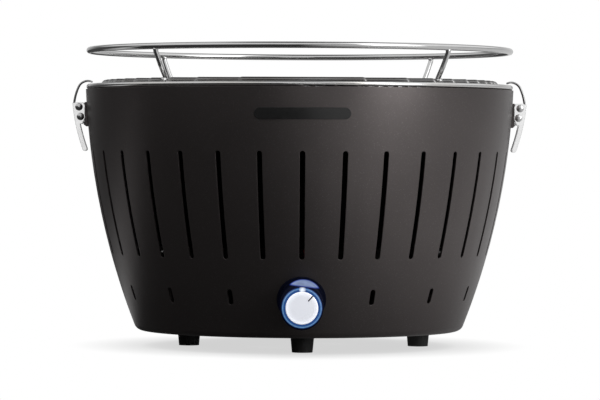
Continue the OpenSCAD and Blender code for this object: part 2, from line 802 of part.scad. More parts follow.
module base_panel_screws() {
    color(steel) at_panel_screws() difference() {
        union() {
            translate([0, 0, base_z - touch - 1.6]) cylinder(r1 = 2.2, r2 = 3, h = 1.6);
            translate([0, 0, base_z - 0.5]) cylinder(r = 1.4, h = panel_top_z + 3 - base_z, $fn = 24);
        }
        for (a = [0, 90]) rotate([0, 0, a])
            translate([0, 0, base_z - 1.7]) cube([3, 0.7, 1.4], center = true);
    }
}

module battery_box() {
    out_x = bay_x + 2 * box_wall;
    out_y = bay_y + 2 * box_wall;
    low_z = panel_top_z + touch;
    color(black_plastic) in_bay() difference() {
        translate([-out_x / 2, -out_y / 2, low_z]) cube([out_x, out_y, box_top_z - low_z]);
        translate([-bay_x / 2, -bay_y / 2, low_z - 1]) cube([bay_x, bay_y, box_top_z - low_z + 1 - box_wall]);
        translate([bay_x / 2 - 4, -2, low_z - 1]) cube([10, 4, 6]);
    }
}

module at_cells() {
    in_bay() for (i = [-1.5:1:1.5]) translate([i * cell_pitch, 0, cell_z])
        rotate([0, 0, (i + 1.5) % 2 == 0 ? 0 : 180]) children();
}

module battery_cells() {
    color([0.75, 0.6, 0.3]) at_cells() {
        bar_y(0, 0, cell_r, -24.8, 24.8);
        bar_y(0, 0, 2.7, -26, -24.8);
    }
}

// Leaf contacts at both ends of every cell
module battery_contacts() {
    leaf_t = 0.4;
    color(steel) at_cells() {
        translate([-5, -bay_y / 2 + touch, -5]) cube([10, leaf_t, 10]);
        bar_y(0, 0, 2, -bay_y / 2 + 0.2, -26.1);
        translate([-5, bay_y / 2 - leaf_t - touch, -5]) cube([10, leaf_t, 10]);
        translate([0, bay_y / 2 - leaf_t, 0]) rotate([90, 0, 0]) cylinder(r1 = 4.5, r2 = 2.5, h = bay_y / 2 - leaf_t - 24.9);
    }
}

module battery_cover() {
    rib_count = 5;
    color(black_plastic) in_bay() {
        translate([-bay_x / 2 - 2, -bay_y / 2 - 2, cover_low_z]) cube([bay_x + 4, bay_y + 4, cover_t]);
        for (i = [0:rib_count - 1])
            translate([bay_x / 2 - 3 - 3 * i, -10, cover_low_z - 0.7]) cube([1.2, 20, 0.8]);
    }
}

module fan_housing() {
    arm_w = 6;
    color(black_plastic) difference() {
        union() {
            tube(fan_flange_r, fan_wall_r - fan_wall_t, fan_flange_z, 2);
            tube(fan_wall_r, fan_wall_r - fan_wall_t, fan_flange_z, fan_top_z - fan_flange_z);
            tube(fan_wall_r, nozzle_r - fan_wall_t, fan_top_z - fan_wall_t, fan_wall_t);
            tube(nozzle_r, nozzle_r - fan_wall_t, fan_top_z - fan_wall_t, nozzle_top_z - fan_top_z + fan_wall_t);
            translate([0, 0, fan_flange_z]) cylinder(r = motor_r + 1.5, h = 2);
            for (a = [0:120:240]) rotate([0, 0, a + 30]) translate([0, -arm_w / 2, fan_flange_z])
                cube([fan_wall_r - 0.5, arm_w, 2]);
        }
        at_fan_posts() cylinder(r = 1.7, h = far, $fn = 24);
        for (i = [0:11]) rotate([0, 0, i * 30 + 15]) translate([38, -2, fan_flange_z - 1]) cube([11, 4, 4]);
    }
}

module fan_housing_screws() {
    color(steel) at_fan_posts() difference() {
        union() {
            translate([0, 0, fan_flange_z + 2 + touch]) cylinder(r1 = 3, r2 = 2.2, h = 1.6);
            translate([0, 0, fan_flange_z - 6]) cylinder(r = 1.4, h = 8.5, $fn = 24);
        }
        for (a = [0, 90]) rotate([0, 0, a])
            translate([0, 0, fan_flange_z + 3.6]) cube([3, 0.7, 1.4], center = true);
    }
}

module fan_motor() {
    color(steel) difference() {
        union() {
            translate([0, 0, motor_low_z]) cylinder(r = motor_r, h = motor_h);
            translate([0, 0, motor_low_z + motor_h]) cylinder(r = 3, h = 1);
            for (side = [-1, 1]) translate([side * 7 - 1, motor_r - 6, motor_low_z + 2]) cube([2, 9, 0.6]);
        }
        translate([0, 0, motor_low_z + 4]) cylinder(r = fan_shaft_r + run_fit, h = motor_h, $fn = 24);
    }
}

module fan_shaft() {
    color(dark_steel) translate([0, 0, motor_low_z + 5])
        cylinder(r = fan_shaft_r, h = impeller_low_z + impeller_h - motor_low_z - 4.5, $fn = 24);
}

// A wheel of leaning blades on the motor's shaft
module fan_impeller() {
    wheel_r = 29.5;
    blade_count = 11;
    color(black_plastic) translate([0, 0, impeller_low_z]) difference() {
        union() {
            cylinder(r = wheel_r, h = 1);
            cylinder(r1 = 9, r2 = 6, h = impeller_h);
            intersection() {
                cylinder(r = wheel_r, h = impeller_h + 1);
                for (i = [0:blade_count - 1]) rotate([0, 0, i * 360 / blade_count])
                    translate([6, 0, 0]) rotate([0, 0, 24]) cube([24, 1, impeller_h + 1]);
            }
        }
        translate([0, 0, -1]) cylinder(r = fan_shaft_r + 0.02, h = impeller_h + 3, $fn = 24);
    }
}

// Two leads from the control to the unit in the middle
module wiring() {
    lead_r = 0.9;
    start_y = control_web_y + 17;
    color("firebrick") for (side = [-1, 1]) {
        wire([side * 4, start_y, knob_z - 4], [side * 4, -90, 24], 2 * lead_r);
        bend_ball([side * 4, -90, 24], 2 * lead_r);
        wire([side * 4, -90, 24], [side * 6, -53.2, 24], 2 * lead_r);
    }
}

// ---------------------------------------------------------------- what is drawn

outer_bowl();
name_plate_blank();
feet();
foot_screws();
foot_nuts();
inner_bowl();
air_diffuser();
fuel_tray();
charcoal_basket();
basket_lid();
lid_handle();
grate_ring();
grate_rods();
grate_cross_bars();
guard_ring();
guard_ring_legs();
left_latch_bracket();
right_latch_bracket();
latch_mount_rivets();
latch_pivot_rivets();
left_latch_lever();
right_latch_lever();
left_bail_pin();
right_bail_pin();
left_latch_bail();
right_latch_bail();
knob_collar();
light_ring();
knob_leds();
speed_control();
control_nut();
knob_shaft();
knob_skirt();
knob_face();
base_panel();
base_panel_screws();
battery_box();
battery_cells();
battery_contacts();
battery_cover();
fan_housing();
fan_housing_screws();
fan_motor();
fan_shaft();
fan_impeller();
wiring();
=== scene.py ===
"""Looks of the portable tabletop grill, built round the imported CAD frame. Metres, +Z up, -Y the front."""
import json
import math

import bmesh
import bpy
from mathutils import Matrix, Quaternion, Vector


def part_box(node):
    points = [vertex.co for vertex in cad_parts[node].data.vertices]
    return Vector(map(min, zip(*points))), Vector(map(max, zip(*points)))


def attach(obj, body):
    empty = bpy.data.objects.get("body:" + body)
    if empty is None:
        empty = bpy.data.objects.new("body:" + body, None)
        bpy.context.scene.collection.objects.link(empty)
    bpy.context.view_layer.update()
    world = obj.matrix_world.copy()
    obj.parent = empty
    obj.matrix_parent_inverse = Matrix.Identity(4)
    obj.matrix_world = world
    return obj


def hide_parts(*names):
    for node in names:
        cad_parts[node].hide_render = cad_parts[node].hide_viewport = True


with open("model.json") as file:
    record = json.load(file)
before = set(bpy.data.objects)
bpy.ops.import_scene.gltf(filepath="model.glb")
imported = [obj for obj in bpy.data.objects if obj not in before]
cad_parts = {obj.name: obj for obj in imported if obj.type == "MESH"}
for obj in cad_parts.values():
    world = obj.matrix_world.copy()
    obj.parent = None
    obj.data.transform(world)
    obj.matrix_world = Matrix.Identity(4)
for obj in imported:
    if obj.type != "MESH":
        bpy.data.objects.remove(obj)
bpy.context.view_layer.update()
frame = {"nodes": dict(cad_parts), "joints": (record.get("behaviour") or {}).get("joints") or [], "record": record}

MM = 0.001
UP = Vector((0, 0, 1))

# ------------------------------------------------------------------ sizes, from the frame


def centre_of(node):
    low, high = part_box(node)
    return (low + high) / 2


def joint(name):
    return next(j for j in frame["joints"] if j["name"] == name)


BOWL_LOW, BOWL_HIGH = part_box("outer_bowl")
RIM_R = BOWL_HIGH.x
RIM_Z = BOWL_HIGH.z
GRATE_LOW, GRATE_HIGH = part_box("grate_rods")
RING_LOW, RING_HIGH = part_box("grate_ring")
GUARD_LOW, GUARD_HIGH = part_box("guard_ring")
GRATE_WIRE_R = (RING_HIGH.z - RING_LOW.z) / 2
GUARD_WIRE_R = (GUARD_HIGH.z - GUARD_LOW.z) / 2
RING_R = RING_HIGH.x - GRATE_WIRE_R
RING_Z = (RING_HIGH.z + RING_LOW.z) / 2
ROD_Z = GRATE_HIGH.z - GRATE_WIRE_R
GUARD_R = GUARD_HIGH.x - GUARD_WIRE_R
GUARD_Z = (GUARD_HIGH.z + GUARD_LOW.z) / 2
KNOB = centre_of("knob_skirt")

# ------------------------------------------------------------------ mesh helpers


def mesh_object(name, verts, faces, smooth=True):
    mesh = bpy.data.meshes.new(name)
    mesh.from_pydata([tuple(v) for v in verts], [], faces)
    mesh.validate()
    bm = bmesh.new()
    bm.from_mesh(mesh)
    bmesh.ops.recalc_face_normals(bm, faces=bm.faces)
    bm.to_mesh(mesh)
    bm.free()
    mesh.polygons.foreach_set("use_smooth", [smooth] * len(mesh.polygons))
    obj = bpy.data.objects.new(name, mesh)
    bpy.context.scene.collection.objects.link(obj)
    return obj


def sweep(path, radii, sides=16, closed=False):
    """Vertices and faces of a round wire along a path. radii is one radius or one for each point."""
    count = len(path)
    if not hasattr(radii, "__len__"):
        radii = [radii] * count
    tangents = []
    for i in range(count):
        before = path[i - 1] if closed or i else path[0]
        after = path[(i + 1) % count] if closed or i < count - 1 else path[-1]
        tangents.append((after - before).normalized())
    side = tangents[0].orthogonal().normalized()
    verts, faces = [], []
    for i, point in enumerate(path):
        if i:
            turn = tangents[i - 1].rotation_difference(tangents[i])
            side = turn @ side
        side = (side - tangents[i] * side.dot(tangents[i])).normalized()
        other = tangents[i].cross(side)
        for k in range(sides):
            a = 2 * math.pi * k / sides
            verts.append(point + radii[i] * (math.cos(a) * side + math.sin(a) * other))
    rings = count if closed else count - 1
    for i in range(rings):
        j = (i + 1) % count
        for k in range(sides):
            m = (k + 1) % sides
            faces.append((i * sides + k, i * sides + m, j * sides + m, j * sides + k))
    if not closed:
        faces.append(tuple(range(sides))[::-1])
        faces.append(tuple((count - 1) * sides + k for k in range(sides)))
    return verts, faces


def merge(parts):
    """One vertex and face list from several."""
    verts, faces = [], []
    for more_verts, more_faces in parts:
        base = len(verts)
        verts += list(more_verts)
        faces += [tuple(base + i for i in face) for face in more_faces]
    return verts, faces


def bend(corners, radius, steps=8):
    """The corners of a wire with every inner corner turned into an arc of the given radius."""
    path = [corners[0]]
    for a, b, c in zip(corners, corners[1:], corners[2:]):
        u, v = (a - b).normalized(), (c - b).normalized()
        half = u.angle(v) / 2
        if half > math.radians(89.5):
            path.append(b)
            continue
        reach = min(radius / math.tan(half), (a - b).length * 0.49, (c - b).length * 0.49)
        r = reach * math.tan(half)
        middle = b + (u + v).normalized() * (r / math.sin(half))
        start, end = b + u * reach, b + v * reach
        sweep_angle = (start - middle).angle(end - middle)
        axis = (start - middle).cross(end - middle).normalized()
        for i in range(steps + 1):
            path.append(middle + Matrix.Rotation(sweep_angle * i / steps, 3, axis) @ (start - middle))
    path.append(corners[-1])
    return path


def lathe(profile, sides=128):
    """Vertices and faces of a closed outline of (radius, height) points turned about Z."""
    verts, faces, rings = [], [], []
    for r, z in profile:
        if r < 1e-7:
            rings.append([len(verts)])
            verts.append(Vector((0, 0, z)))
            continue
        rings.append(list(range(len(verts), len(verts) + sides)))
        for k in range(sides):
            a = 2 * math.pi * k / sides
            verts.append(Vector((r * math.cos(a), r * math.sin(a), z)))
    for one, two in zip(rings, rings[1:] + rings[:1]):
        if len(one) == 1 and len(two) == 1:
            continue
        for k in range(sides):
            m = (k + 1) % sides
            corners = [one[k % len(one)], one[m % len(one)], two[m % len(two)], two[k % len(two)]]
            face = tuple(dict.fromkeys(corners))
            if len(face) > 2:
                faces.append(face)
    return verts, faces


def round_corner(centre, radius, start, end, steps=6):
    """Points of an arc in the (radius, height) plane, angles in degrees."""
    turn = (end - start) / steps
    return [(centre[0] + radius * math.cos(math.radians(start + turn * i)),
             centre[1] + radius * math.sin(math.radians(start + turn * i))) for i in range(steps + 1)]


def ball(centre, scale, sides=16, rings=8):
    """Vertices and faces of a ball stretched by scale along x, y and z."""
    profile = [(math.cos(math.radians(-90 + 180 * i / rings)) if 0 < i < rings else 0.0,
                math.sin(math.radians(-90 + 180 * i / rings))) for i in range(rings + 1)]
    verts, faces = lathe_open(profile, sides)
    return [Vector(centre) + Vector((v.x * scale[0], v.y * scale[1], v.z * scale[2])) for v in verts], faces


def lathe_open(profile, sides):
    """As lathe, for an outline that starts and ends on the axis."""
    verts, faces = lathe(profile, sides)
    return verts, faces


def add_piece(name, geometry, material, body, slot_name, *replaced):
    verts, faces = geometry
    obj = mesh_object(name, verts, faces)
    obj.data.materials.append(material)
    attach(obj, body)
    if replaced:
        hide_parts(*replaced)
    return obj


# ------------------------------------------------------------------ material helpers


class Shader:
    """A node material with short calls for the nodes used here."""

    def __init__(self, name):
        self.material = bpy.data.materials.new(name)
        self.material.use_nodes = True
        self.tree = self.material.node_tree
        self.surface = self.tree.nodes["Principled BSDF"]
        coords = self.node("ShaderNodeTexCoord")
        self.position = coords.outputs["Object"]

    def node(self, kind, **values):
        made = self.tree.nodes.new(kind)
        for key, value in values.items():
            setattr(made, key, value)
        return made

    def link(self, source, target):
        self.tree.links.new(source, target)
        return source

    def feed(self, socket, value):
        if isinstance(value, bpy.types.NodeSocket):
            self.link(value, socket)
        else:
            socket.default_value = value

    def set(self, **values):
        for key, value in values.items():
            self.feed(self.surface.inputs[key.replace("_", " ")], value)

    def noise(self, scale, detail=2.0, roughness=0.5, vector=None, distortion=0.0):
        made = self.node("ShaderNodeTexNoise")
        self.link(vector or self.position, made.inputs["Vector"])
        made.inputs["Scale"].default_value = scale
        made.inputs["Detail"].default_value = detail
        made.inputs["Roughness"].default_value = roughness
        made.inputs["Distortion"].default_value = distortion
        return made.outputs["Fac"]

    def cells(self, scale, vector=None):
        made = self.node("ShaderNodeTexVoronoi")
        self.link(vector or self.position, made.inputs["Vector"])
        made.inputs["Scale"].default_value = scale
        return made.outputs["Color"], made.outputs["Distance"]

    def stretch(self, factors):
        made = self.node("ShaderNodeVectorMath", operation="MULTIPLY")
        self.link(self.position, made.inputs[0])
        made.inputs[1].default_value = factors
        return made.outputs["Vector"]

    def spun(self, along=1.0, across=1.0, centre=(0, 0, 0)):
        """Coordinates that run round the Z axis, so that streaks follow a lathe's marks."""
        moved = self.node("ShaderNodeVectorMath", operation="SUBTRACT")
        self.link(self.position, moved.inputs[0])
        moved.inputs[1].default_value = centre
        split = self.node("ShaderNodeSeparateXYZ")
        self.link(moved.outputs["Vector"], split.inputs[0])
        flat = self.node("ShaderNodeCombineXYZ")
        self.link(split.outputs["X"], flat.inputs["X"])
        self.link(split.outputs["Y"], flat.inputs["Y"])
        length = self.node("ShaderNodeVectorMath", operation="LENGTH")
        self.link(flat.outputs[0], length.inputs[0])
        angle = self.math("ARCTAN2", split.outputs["Y"], split.outputs["X"])
        out = self.node("ShaderNodeCombineXYZ")
        self.link(self.math("MULTIPLY", length.outputs["Value"], across), out.inputs["X"])
        self.link(self.math("MULTIPLY", angle, along), out.inputs["Y"])
        self.link(self.math("MULTIPLY", split.outputs["Z"], across), out.inputs["Z"])
        return out.outputs[0]

    def math(self, operation, a, b=0.0, clamp=False):
        made = self.node("ShaderNodeMath", operation=operation, use_clamp=clamp)
        self.feed(made.inputs[0], a)
        self.feed(made.inputs[1], b)
        return made.outputs[0]

    def remap(self, value, low_in, high_in, low_out, high_out):
        made = self.node("ShaderNodeMapRange")
        self.link(value, made.inputs["Value"])
        for key, number in zip(("From Min", "From Max", "To Min", "To Max"), (low_in, high_in, low_out, high_out)):
            made.inputs[key].default_value = number
        return made.outputs["Result"]

    def mix(self, factor, a, b):
        made = self.node("ShaderNodeMix", data_type="RGBA")
        self.feed(made.inputs["Factor"], factor)
        self.feed(made.inputs["A"], a)
        self.feed(made.inputs["B"], b)
        return made.outputs["Result"]

    def bump(self, height, distance, strength=1.0, normal=None):
        made = self.node("ShaderNodeBump")
        made.inputs["Distance"].default_value = distance
        made.inputs["Strength"].default_value = strength
        self.link(height, made.inputs["Height"])
        if normal is not None:
            self.link(normal, made.inputs["Normal"])
        return made.outputs["Normal"]

    def rounded(self, radius):
        made = self.node("ShaderNodeBevel", samples=4)
        made.inputs["Radius"].default_value = radius
        return made.outputs["Normal"]


def grey(value, warm=0.0):
    return (value * (1 + warm), value, value * (1 - warm), 1)


# ------------------------------------------------------------------ materials


def powder_coat():
    s = Shader("powder_coat")
    grain = s.noise(1500, detail=3, roughness=0.6)
    clouds = s.noise(12, detail=2)
    flakes, _ = s.cells(2600)
    sparkle = s.remap(flakes, 0.80, 1.0, 0.0, 1.0)
    base = s.mix(s.remap(clouds, 0.3, 0.7, 0, 1), (0.097, 0.086, 0.085, 1), (0.110, 0.0975, 0.0965, 1))
    base = s.mix(s.math("MULTIPLY", sparkle, 0.6, clamp=True), base, (0.24, 0.225, 0.225, 1))
    s.set(Base_Color=base, Metallic=0.85, Roughness=s.remap(grain, 0.3, 0.7, 0.29, 0.40))
    s.set(Normal=s.bump(grain, 0.00006, 0.55, s.rounded(0.0006)))
    return s.material


def polished_wire(name="polished_wire", tone=0.72, rough=0.09):
    s = Shader(name)
    drawn = s.noise(90, detail=3)
    fine = s.noise(2500, detail=2)
    s.set(Base_Color=s.mix(drawn, grey(tone * 0.9), grey(tone)), Metallic=1.0)
    s.set(Roughness=s.remap(drawn, 0.3, 0.7, rough * 0.8, rough * 1.6))
    s.set(Normal=s.bump(fine, 0.00001, 0.35))
    return s.material


def cooking_wire():
    """Grate wire, its chrome toned down to a dull grey as painted shade, with random darker patches."""
    s = Shader("cooking_wire")
    drawn = s.noise(140, detail=3)
    patches = s.noise(18, detail=4)
    fine = s.noise(2200, detail=2)
    # painted shade: the wire's tone is kept dull grey rather than chrome bright; the noise adds random darker patches
    bright, dull = grey(0.30), (0.12, 0.108, 0.10, 1)
    s.set(Base_Color=s.mix(s.remap(patches, 0.42, 0.68, 0, 0.7), bright, dull), Metallic=1.0)
    s.set(Roughness=s.remap(drawn, 0.3, 0.7, 0.12, 0.26))
    s.set(Normal=s.bump(fine, 0.000012, 0.5))
    return s.material


def spun_steel(name, tone, rough, along=3.0, across=900.0, depth=0.000008):
    """Stainless sheet with a lathe's fine rings in it."""
    s = Shader(name)
    rings = s.noise(1.0, detail=3, roughness=0.6, vector=s.spun(along=along, across=across))
    stains = s.noise(22, detail=4)
    tint = s.mix(s.remap(stains, 0.45, 0.75, 0, 0.6), grey(tone), (tone * 0.95, tone * 0.9, tone * 0.82, 1))
    s.set(Base_Color=tint, Metallic=1.0, Roughness=s.remap(rings, 0.3, 0.7, rough * 0.75, rough * 1.35))
    s.set(Normal=s.bump(rings, depth, 0.6, s.rounded(0.0004)))
    return s.material


def bowl_steel():
    """Bright spun steel inside and on the rim, with painted shade: the side that faces the outer bowl is painted almost
    black and without shine.
    """
    material = spun_steel("bowl_steel", 0.70, 0.13)
    tree = material.node_tree
    surface = tree.nodes["Principled BSDF"]

    def node(kind, **values):
        made = tree.nodes.new(kind)
        for key, value in values.items():
            setattr(made, key, value)
        return made

    place = node("ShaderNodeNewGeometry")
    outward = node("ShaderNodeVectorMath", operation="DOT_PRODUCT")
    tree.links.new(place.outputs["Position"], outward.inputs[0])
    tree.links.new(place.outputs["Normal"], outward.inputs[1])
    facing = node("ShaderNodeMath", operation="GREATER_THAN")
    facing.inputs[1].default_value = 0.02
    split = node("ShaderNodeSeparateXYZ")
    tree.links.new(place.outputs["Position"], split.inputs[0])
    below = node("ShaderNodeMath", operation="LESS_THAN")
    below.inputs[1].default_value = RIM_Z - 0.0006
    tree.links.new(outward.outputs["Value"], facing.inputs[0])
    tree.links.new(split.outputs["Z"], below.inputs[0])
    # painted shade: below the rim, the outward-facing side turns almost black and loses its metallic shine
    painted_shade_side = node("ShaderNodeMath", operation="MULTIPLY")
    tree.links.new(facing.outputs[0], painted_shade_side.inputs[0])
    tree.links.new(below.outputs[0], painted_shade_side.inputs[1])
    tone = node("ShaderNodeMix", data_type="RGBA")
    tree.links.new(painted_shade_side.outputs[0], tone.inputs["Factor"])
    tree.links.new(surface.inputs["Base Color"].links[0].from_socket, tone.inputs["A"])
    tone.inputs["B"].default_value = grey(0.004)
    tree.links.new(tone.outputs["Result"], surface.inputs["Base Color"])
    shine = node("ShaderNodeMapRange")
    tree.links.new(painted_shade_side.outputs[0], shine.inputs["Value"])
    shine.inputs["To Min"].default_value = 1.0
    shine.inputs["To Max"].default_value = 0.0
    tree.links.new(shine.outputs["Result"], surface.inputs["Metallic"])
    tree.links.new(shine.outputs["Result"], surface.inputs["Specular IOR Level"])
    return material


def cast_latch():
    s = Shader("latch_steel")
    waves = s.noise(60, detail=2)
    fine = s.noise(1600, detail=3)
    s.set(Base_Color=s.mix(waves, grey(0.80), grey(0.90)), Metallic=0.9)
    s.set(Roughness=s.remap(fine, 0.3, 0.7, 0.08, 0.15))
    s.set(Normal=s.bump(waves, 0.0002, 0.4, s.rounded(0.0005)))
    return s.material


def plated_fastener():
    s = Shader("fasteners")
    fine = s.noise(900, detail=3)
    s.set(Base_Color=s.mix(fine, grey(0.56), grey(0.72)), Metallic=1.0)
    s.set(Roughness=s.remap(fine, 0.3, 0.7, 0.16, 0.32), Normal=s.bump(fine, 0.00002, 0.5, s.rounded(0.0003)))
    return s.material


def rubber():
    s = Shader("rubber")
    skin = s.noise(1100, detail=4, roughness=0.65)
    dust = s.noise(55, detail=3)
    s.set(Base_Color=s.mix(s.remap(dust, 0.5, 0.8, 0, 0.5), grey(0.012), grey(0.03)))
    s.set(Roughness=s.remap(skin, 0.3, 0.7, 0.55, 0.8), Normal=s.bump(skin, 0.00005, 0.5, s.rounded(0.0006)))
    return s.material


def moulded_plastic(name="black_plastic", tone=0.022, rough=0.42, grain=1400):
    s = Shader(name)
    spark = s.noise(grain, detail=2, roughness=0.6)
    s.set(Base_Color=s.mix(s.noise(40), grey(tone * 0.85), grey(tone * 1.2)))
    s.set(Roughness=s.remap(spark, 0.3, 0.7, rough * 0.85, rough * 1.2))
    s.set(Normal=s.bump(spark, 0.00003, 0.5, s.rounded(0.0004)))
    return s.material


def gloss_badge():
    s = Shader("badge")
    peel = s.noise(300, detail=2)
    s.set(Base_Color=s.mix(s.noise(60), grey(0.008), grey(0.016)))
    s.set(Roughness=s.remap(peel, 0.3, 0.7, 0.14, 0.24), Normal=s.bump(peel, 0.00002, 0.3, s.rounded(0.0004)))
    return s.material


def round_knob(s):
    """Distance from the knob's axis, distance to its right and height above it, all in millimetres."""
    moved = s.node("ShaderNodeVectorMath", operation="SUBTRACT")
    s.link(s.position, moved.inputs[0])
    moved.inputs[1].default_value = KNOB
    split = s.node("ShaderNodeSeparateXYZ")
    s.link(moved.outputs["Vector"], split.inputs[0])
    x = s.math("MULTIPLY", split.outputs["X"], 1000.0)
    z = s.math("MULTIPLY", split.outputs["Z"], 1000.0)
    away = s.math("SQRT", s.math("ADD", s.math("MULTIPLY", x, x), s.math("MULTIPLY", z, z)))
    return away, x, z


def seen_only(s, strength):
    """An emission strength that the camera sees but that lights nothing else."""
    return s.math("MULTIPLY", strength, s.node("ShaderNodeLightPath").outputs["Is Camera Ray"])


def spot(s, across, above, place, inner, outer):
    """1 near a place on the knob's front, falling to 0 between the inner and outer distance from it."""
    dx = s.math("SUBTRACT", across, place[0])
    dz = s.math("SUBTRACT", above, place[1])
    away = s.math("SQRT", s.math("ADD", s.math("MULTIPLY", dx, dx), s.math("MULTIPLY", dz, dz)))
    return s.remap(away, inner, outer, 1.0, 0.0)


def ramp(s, value, low, high, stops):
    """A colour that runs through (input, colour) stops."""
    made = s.node("ShaderNodeValToRGB")
    s.link(s.remap(value, low, high, 0.0, 1.0), made.inputs[0])
    elements = made.color_ramp.elements
    while len(elements) < len(stops):
        elements.new(0.5)
    for element, (at, colour) in zip(elements, stops):
        element.position = (at - low) / (high - low)
        element.color = (*colour, 1)
    return made.outputs["Color"]


def collar_gloss():
    """Deep gloss plastic with a painted reflection: an emitted crescent above the knob, and a faint painted blue glow
    round it.
    """
    s = Shader("collar_plastic")
    _, across, above = round_knob(s)
    # painted reflection: an emitted crescent above the knob, seen only by the camera
    disc = spot(s, across, above, (1.0, 6.2), 14.6, 15.6)
    level = s.math("ADD", above, s.math("MULTIPLY", across, 0.12))
    crescent = s.math("MULTIPLY", disc, s.remap(level, 15.9, 17.2, 0.0, 1.0))
    # painted glow: a faint blue halo round the knob
    halo = s.math("MULTIPLY", spot(s, across, above, (0.0, 0.0), 14.0, 19.0), 0.008)
    peel = s.noise(260, detail=2)
    cloud = s.noise(150, detail=1)
    s.set(Base_Color=s.mix(peel, (0.003, 0.004, 0.012, 1), (0.005, 0.007, 0.02, 1)))
    s.set(Roughness=s.remap(peel, 0.3, 0.7, 0.10, 0.18), Specular_IOR_Level=0.12)
    glow = s.math("MULTIPLY", crescent, s.remap(cloud, 0.3, 0.7, 0.7, 1.05))
    s.set(Emission_Color=s.mix(crescent, (0.03, 0.1, 0.9, 1), (0.25, 0.32, 0.52, 1)))
    s.set(Emission_Strength=seen_only(s, s.math("ADD", glow, halo)))
    s.set(Normal=s.bump(peel, 0.00001, 0.3, s.rounded(0.0005)))
    return s.material


def clear_blue():
    """Tinted clear plastic with painted light in it: emitted rings, brightest in a thin line near its edge, and a
    painted white glint at the top.
    """
    s = Shader("clear_blue")
    streaks = s.noise(1.0, detail=3, vector=s.stretch((700, 90, 700)))
    swirl = s.noise(120, detail=2)
    away, across, above = round_knob(s)
    # painted light: emitted light and dark rings by distance from the knob's axis
    light = ramp(s, away, 11.0, 16.0, [(11.0, (0.008, 0.04, 0.16)), (13.0, (0.006, 0.03, 0.12)), (13.5, (0.012, 0.06, 0.2)),
                                       (14.1, (0.006, 0.035, 0.13)), (14.7, (0.12, 0.25, 0.42)), (15.1, (0.09, 0.2, 0.36)),
                                       (15.5, (0.006, 0.03, 0.13)), (16.0, (0.002, 0.008, 0.05))])
    # painted highlight: a white glint at the top of the ring
    glint = spot(s, across, above, (0.4, 14.1), 1.0, 2.9)
    s.set(Base_Color=s.mix(swirl, (0.008, 0.035, 0.14, 1), (0.012, 0.05, 0.2, 1)), Transmission_Weight=0.2, IOR=1.46)
    s.set(Roughness=s.remap(swirl, 0.3, 0.7, 0.08, 0.2), Coat_Weight=0.3)
    s.set(Emission_Color=s.mix(glint, light, (0.9, 0.95, 1.0, 1)))
    s.set(Emission_Strength=seen_only(s, s.remap(streaks, 0.3, 0.7, 0.75, 1.15)))
    s.set(Normal=s.bump(streaks, 0.00004, 0.4, s.rounded(0.0004)))
    return s.material


def satin_face():
    """Turned aluminium with fine rings round the knob's axis, a dark pointer line and a painted glow that grows towards
    the rim.
    """
    s = Shader("knob_silver")
    away, across, above = round_knob(s)
    rings = s.node("ShaderNodeCombineXYZ")
    s.link(s.math("MULTIPLY", away, 6.0), rings.inputs["X"])
    turned = s.noise(1.0, detail=2, vector=rings.outputs[0])
    cloud = s.noise(240, detail=2)
    lean = math.radians(42)
    aside = s.math("SUBTRACT", s.math("MULTIPLY", across, math.cos(lean)), s.math("MULTIPLY", above, math.sin(lean)))
    along = s.math("ADD", s.math("MULTIPLY", across, math.sin(lean)), s.math("MULTIPLY", above, math.cos(lean)))
    line = s.math("MULTIPLY", s.math("LESS_THAN", s.math("ABSOLUTE", aside), 0.52), s.math("GREATER_THAN", along, 7.2))
    metal = s.mix(cloud, (0.76, 0.77, 0.82, 1), (0.84, 0.85, 0.89, 1))
    s.set(Base_Color=s.mix(line, metal, (0.02, 0.02, 0.03, 1)), Metallic=0.2)
    s.set(Roughness=s.remap(turned, 0.3, 0.7, 0.3, 0.45), Normal=s.bump(turned, 0.00001, 0.5, s.rounded(0.0003)))
    # painted light: the face glows for the camera, more towards its rim, but not along the pointer line
    glow = s.math("MULTIPLY", s.remap(away, 9.0, 12.4, 0.34, 0.62), s.remap(line, 0.0, 1.0, 1.0, 0.0))
    s.set(Emission_Color=(0.84, 0.88, 0.98, 1), Emission_Strength=seen_only(s, glow))
    return s.material


def printed_sleeve():
    s = Shader("cell_wrap")
    split = s.node("ShaderNodeSeparateXYZ")
    s.link(s.position, split.inputs[0])
    film = s.noise(500, detail=2)
    s.set(Base_Color=s.mix(s.noise(70), (0.42, 0.30, 0.08, 1), (0.55, 0.40, 0.12, 1)), Metallic=0.5)
    s.set(Roughness=s.remap(film, 0.3, 0.7, 0.25, 0.4), Normal=s.bump(film, 0.00002, 0.4))
    return s.material


def contact_metal():
    s = Shader("contact_metal")
    fine = s.noise(1200, detail=3)
    s.set(Base_Color=s.mix(fine, (0.62, 0.52, 0.28, 1), (0.78, 0.68, 0.4, 1)), Metallic=1.0)
    s.set(Roughness=s.remap(fine, 0.3, 0.7, 0.18, 0.35), Normal=s.bump(fine, 0.00001, 0.5))
    return s.material


def wire_sleeve():
    s = Shader("wire_sleeve")
    fine = s.noise(800, detail=2)
    s.set(Base_Color=s.mix(fine, (0.28, 0.012, 0.012, 1), (0.4, 0.03, 0.025, 1)))
    s.set(Roughness=s.remap(fine, 0.3, 0.7, 0.3, 0.45), Normal=s.bump(fine, 0.00002, 0.4))
    return s.material


